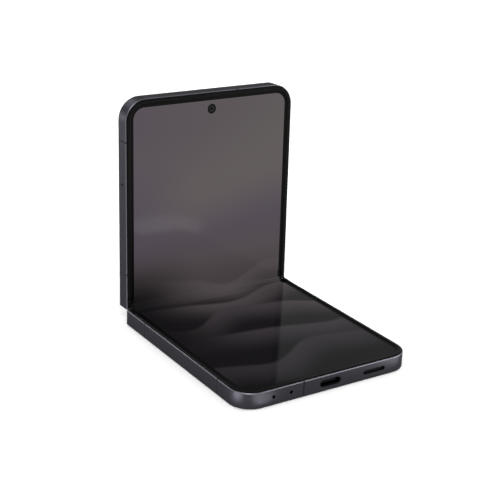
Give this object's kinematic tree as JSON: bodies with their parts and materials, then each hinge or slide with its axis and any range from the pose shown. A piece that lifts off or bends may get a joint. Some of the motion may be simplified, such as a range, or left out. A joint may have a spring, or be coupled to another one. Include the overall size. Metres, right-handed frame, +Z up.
{
  "type": "foldable smartphone",
  "caption": "Clamshell foldable smartphone, half open, with a screen that bends over a hidden hinge, side keys, a card tray, ports and rear cameras.",
  "frame": {"origin": "centre of the lower half's back face, which lies on the table", "axes": "+X across the phone to the right as seen from the front, +Y from the lower half's end towards the fold, +Z up out of the lower screen"},
  "size_m": [0.0755, 0.0928, 0.0896],
  "materials": {
    "antenna_plastic": "satin dark grey",
    "battery_foil": "black foil wrap",
    "bezel_plastic": "soft black",
    "black_plastic": "moulded",
    "circuit_board": "solder mask",
    "copper": "bare copper and flex",
    "cover_glass": "black gloss glass",
    "cover_screen": "unlit display",
    "flash_yellow": "diffuser",
    "graphite_metal": "fine-brushed anodised dark graphite",
    "lens_glass": "coated lens",
    "outer_glass": "dark satin glass",
    "screen": "dark display under clear film",
    "spine_metal": "anodised dark graphite",
    "steel": "stamped"
  },
  "bodies": {
    "lower_half": {"lower_frame": "graphite_metal", "lower_antenna_breaks": "antenna_plastic", "lower_back_glass": "outer_glass", "lower_support_plate": "steel", "lower_screen": "screen", "lower_bezel": "bezel_plastic", "lower_hinge_caps": "bezel_plastic", "lower_battery": "battery_foil", "charging_coil": "copper", "lower_board": "circuit_board", "usb_port": "steel", "loudspeaker": "black_plastic", "speaker_mesh": "black_plastic", "microphones": "steel", "vibration_motor": "steel", "lower_screws": "steel", "lower_hinge_arms": "steel"},
    "hinge_spine": {"spine_cover": "spine_metal", "spine_end_caps": "black_plastic", "left_hinge_bracket": "steel", "right_hinge_bracket": "steel", "friction_leaves": "copper", "spine_liner": "steel", "bracket_screws": "steel", "fold_screen": "screen", "fold_flex": "copper"},
    "upper_half": {"upper_frame": "graphite_metal", "upper_antenna_breaks": "antenna_plastic", "cover_glass": "cover_glass", "cover_screen": "cover_screen", "upper_support_plate": "steel", "upper_screen": "screen", "upper_bezel": "bezel_plastic", "upper_hinge_caps": "bezel_plastic", "upper_battery": "battery_foil", "main_board": "circuit_board", "shield_cans": "steel", "front_camera": "black_plastic", "main_camera": "black_plastic", "wide_camera": "black_plastic", "camera_rings": "graphite_metal", "camera_lenses": "lens_glass", "flash_lens": "flash_yellow", "earpiece": "black_plastic", "sim_reader": "steel", "key_switches": "copper", "upper_screws": "steel", "upper_hinge_arms": "steel"},
    "sim_tray": {"sim_tray": "graphite_metal"},
    "side_key": {"side_key": "graphite_metal"},
    "volume_key": {"volume_key": "graphite_metal"}
  },
  "joints": [
    {"name": "lower_fold", "type": "hinge", "parent": "lower_half", "child": "hinge_spine", "pos_m": [0, 0.04102, 0.0059], "axis": [1, 0, 0], "range_deg": [-44.25, 45.75], "deforming": ["fold_screen", "fold_flex"]},
    {"name": "upper_fold", "type": "hinge", "parent": "hinge_spine", "child": "upper_half", "pos_m": [0, 0.04239, 0.00723], "axis": [1, 0, 0], "range_deg": [-44.25, 45.75]},
    {"name": "sim_tray_slide", "type": "slide", "parent": "upper_half", "child": "sim_tray", "axis": [-1, 0, 0], "range_m": [0, 0.02]},
    {"name": "side_key_press", "type": "slide", "parent": "upper_half", "child": "side_key", "axis": [-1, 0, 0], "range_m": [0, 0.00025], "stiffness_N_per_m": 4000},
    {"name": "volume_key_press", "type": "slide", "parent": "upper_half", "child": "volume_key", "axis": [-1, 0, 0], "range_m": [0, 0.00025], "stiffness_N_per_m": 4000}
  ],
  "couplings": [
    {"joint": "upper_fold", "follows": "lower_fold", "ratio": 1}
  ]
}
